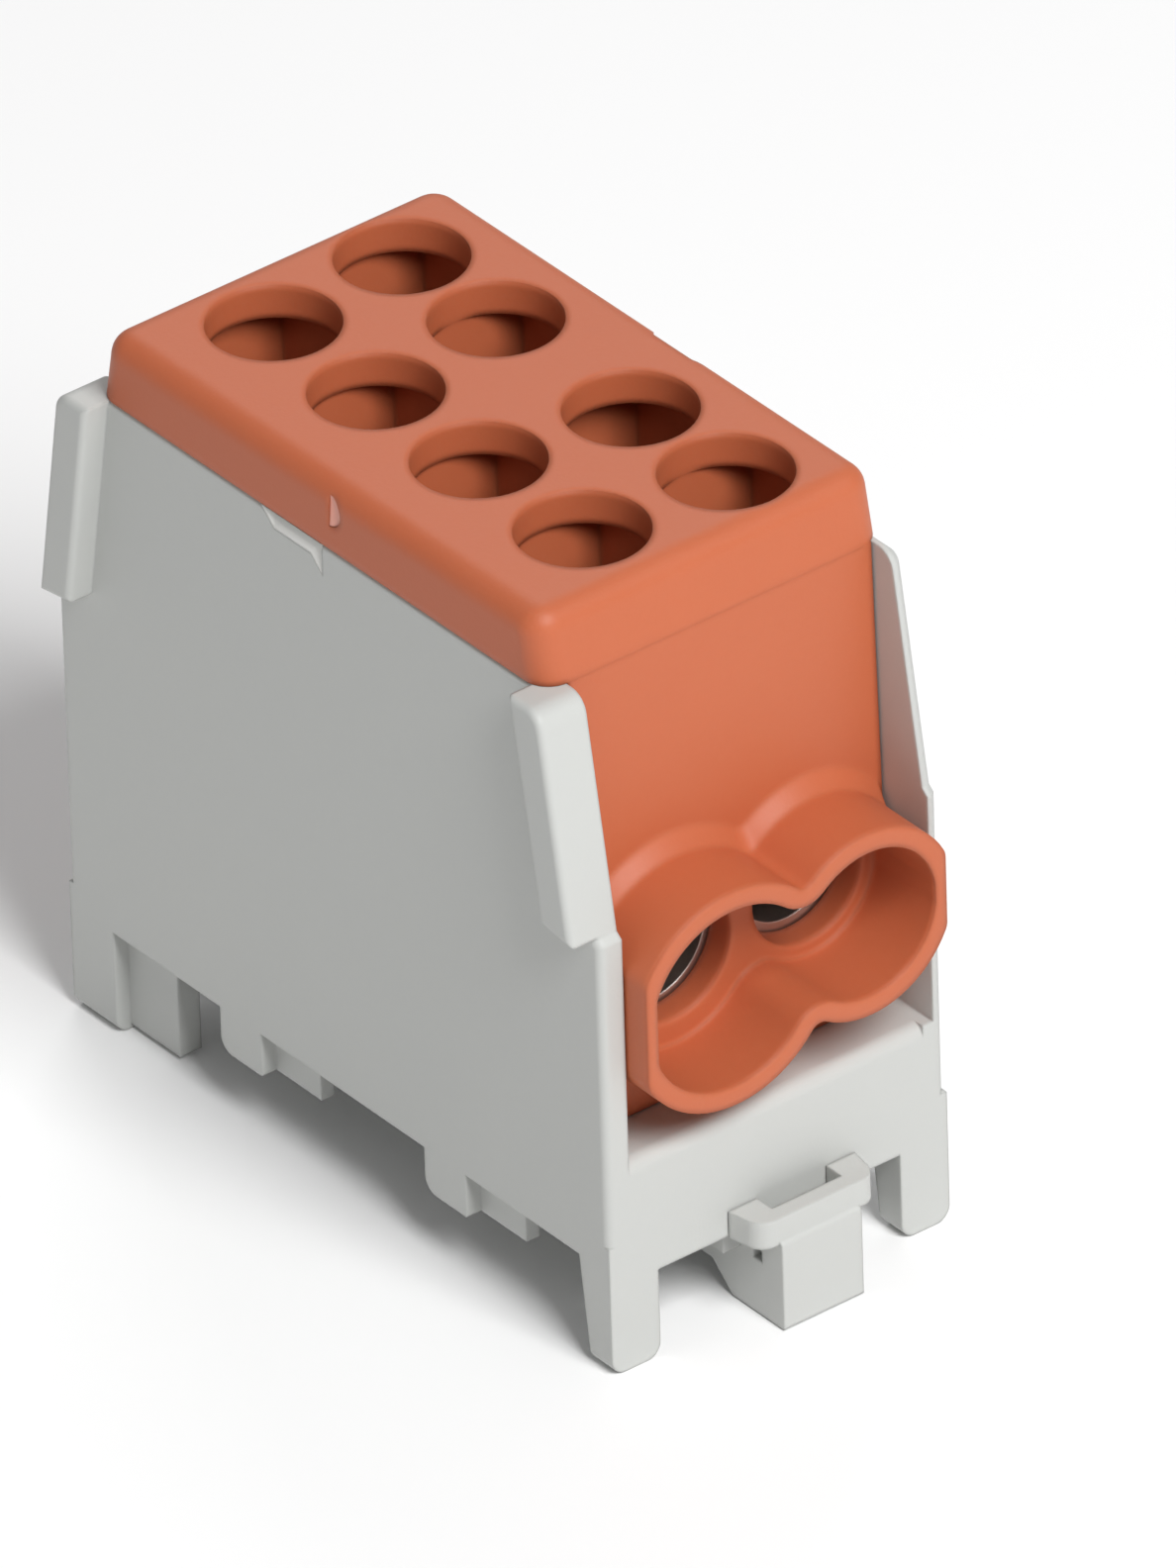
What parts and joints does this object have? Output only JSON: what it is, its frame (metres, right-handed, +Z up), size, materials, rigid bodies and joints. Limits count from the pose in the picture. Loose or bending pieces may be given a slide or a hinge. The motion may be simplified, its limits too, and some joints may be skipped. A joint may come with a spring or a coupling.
{
  "type": "power distribution block",
  "caption": "Rail-mounting power distribution block: grey base, insulating terracotta cover with conductor mouths at both ends, clamp screws reached through round access holes.",
  "frame": {"origin": "middle of the part's bounding box at the height of the feet's undersides", "axes": "+X along the body towards the end with the rail latch, +Y across it away from the side with the coupling ribs, +Z up through the access holes"},
  "size_m": [0.0638, 0.0308, 0.0571],
  "materials": {
    "grey_plastic": "light grey moulded thermoplastic, fine grain",
    "terracotta_plastic": "terracotta moulded thermoplastic, fine grain",
    "plated_bar": "nickel-plated, satin",
    "screw_steel": "zinc-plated steel, darkened",
    "foot_steel": "plated steel"
  },
  "bodies": {
    "root": {"base": "grey_plastic", "cover": "terracotta_plastic", "terminal_block": "plated_bar"},
    "rail_latch": {"rail_latch": "grey_plastic"},
    "foot_1": {"pressure_foot_1": "foot_steel"},
    "screw_1": {"clamp_screw_1": "screw_steel"},
    "foot_2": {"pressure_foot_2": "foot_steel"},
    "screw_2": {"clamp_screw_2": "screw_steel"},
    "foot_3": {"pressure_foot_3": "foot_steel"},
    "screw_3": {"clamp_screw_3": "screw_steel"},
    "foot_4": {"pressure_foot_4": "foot_steel"},
    "screw_4": {"clamp_screw_4": "screw_steel"},
    "foot_5": {"pressure_foot_5": "foot_steel"},
    "screw_5": {"clamp_screw_5": "screw_steel"},
    "foot_6": {"pressure_foot_6": "foot_steel"},
    "screw_6": {"clamp_screw_6": "screw_steel"},
    "foot_7": {"pressure_foot_7": "foot_steel"},
    "screw_7": {"clamp_screw_7": "screw_steel"},
    "foot_8": {"pressure_foot_8": "foot_steel"},
    "screw_8": {"clamp_screw_8": "screw_steel"}
  },
  "joints": [
    {"name": "rail_latch_slide", "type": "slide", "parent": "root", "child": "rail_latch", "axis": [1, 0, 0], "range_m": [0, 0.0025], "stiffness_N_per_m": 3000},
    {"name": "foot_1_slide", "type": "slide", "parent": "root", "child": "foot_1", "axis": [0, 0, -1], "range_m": [0, 0.00625]},
    {"name": "screw_1_turn", "type": "hinge", "parent": "foot_1", "child": "screw_1", "pos_m": [-0.017, -0.004, 0.043], "axis": [0, 0, -1], "range_deg": [0, 1801]},
    {"name": "foot_2_slide", "type": "slide", "parent": "root", "child": "foot_2", "axis": [0, 0, -1], "range_m": [0, 0.00625]},
    {"name": "screw_2_turn", "type": "hinge", "parent": "foot_2", "child": "screw_2", "pos_m": [-0.006, -0.004, 0.043], "axis": [0, 0, -1], "range_deg": [0, 1801]},
    {"name": "foot_3_slide", "type": "slide", "parent": "root", "child": "foot_3", "axis": [0, 0, -1], "range_m": [0, 0.00625]},
    {"name": "screw_3_turn", "type": "hinge", "parent": "foot_3", "child": "screw_3", "pos_m": [0.005, -0.004, 0.043], "axis": [0, 0, -1], "range_deg": [0, 1801]},
    {"name": "foot_4_slide", "type": "slide", "parent": "root", "child": "foot_4", "axis": [0, 0, -1], "range_m": [0, 0.00625]},
    {"name": "screw_4_turn", "type": "hinge", "parent": "foot_4", "child": "screw_4", "pos_m": [0.016, -0.004, 0.043], "axis": [0, 0, -1], "range_deg": [0, 1801]},
    {"name": "foot_5_slide", "type": "slide", "parent": "root", "child": "foot_5", "axis": [0, 0, -1], "range_m": [0, 0.00625]},
    {"name": "screw_5_turn", "type": "hinge", "parent": "foot_5", "child": "screw_5", "pos_m": [-0.0178, 0.0075, 0.043], "axis": [0, 0, -1], "range_deg": [0, 1801]},
    {"name": "foot_6_slide", "type": "slide", "parent": "root", "child": "foot_6", "axis": [0, 0, -1], "range_m": [0, 0.00625]},
    {"name": "screw_6_turn", "type": "hinge", "parent": "foot_6", "child": "screw_6", "pos_m": [-0.0077, 0.0075, 0.043], "axis": [0, 0, -1], "range_deg": [0, 1801]},
    {"name": "foot_7_slide", "type": "slide", "parent": "root", "child": "foot_7", "axis": [0, 0, -1], "range_m": [0, 0.00625]},
    {"name": "screw_7_turn", "type": "hinge", "parent": "foot_7", "child": "screw_7", "pos_m": [0.0067, 0.0075, 0.043], "axis": [0, 0, -1], "range_deg": [0, 1801]},
    {"name": "foot_8_slide", "type": "slide", "parent": "root", "child": "foot_8", "axis": [0, 0, -1], "range_m": [0, 0.00625]},
    {"name": "screw_8_turn", "type": "hinge", "parent": "foot_8", "child": "screw_8", "pos_m": [0.0168, 0.0075, 0.043], "axis": [0, 0, -1], "range_deg": [0, 1801]}
  ],
  "couplings": [
    {"joint": "screw_1_turn", "follows": "foot_1_slide", "rad_per_m": 5026.5},
    {"joint": "screw_2_turn", "follows": "foot_2_slide", "rad_per_m": 5026.5},
    {"joint": "screw_3_turn", "follows": "foot_3_slide", "rad_per_m": 5026.5},
    {"joint": "screw_4_turn", "follows": "foot_4_slide", "rad_per_m": 5026.5},
    {"joint": "screw_5_turn", "follows": "foot_5_slide", "rad_per_m": 5026.5},
    {"joint": "screw_6_turn", "follows": "foot_6_slide", "rad_per_m": 5026.5},
    {"joint": "screw_7_turn", "follows": "foot_7_slide", "rad_per_m": 5026.5},
    {"joint": "screw_8_turn", "follows": "foot_8_slide", "rad_per_m": 5026.5}
  ]
}
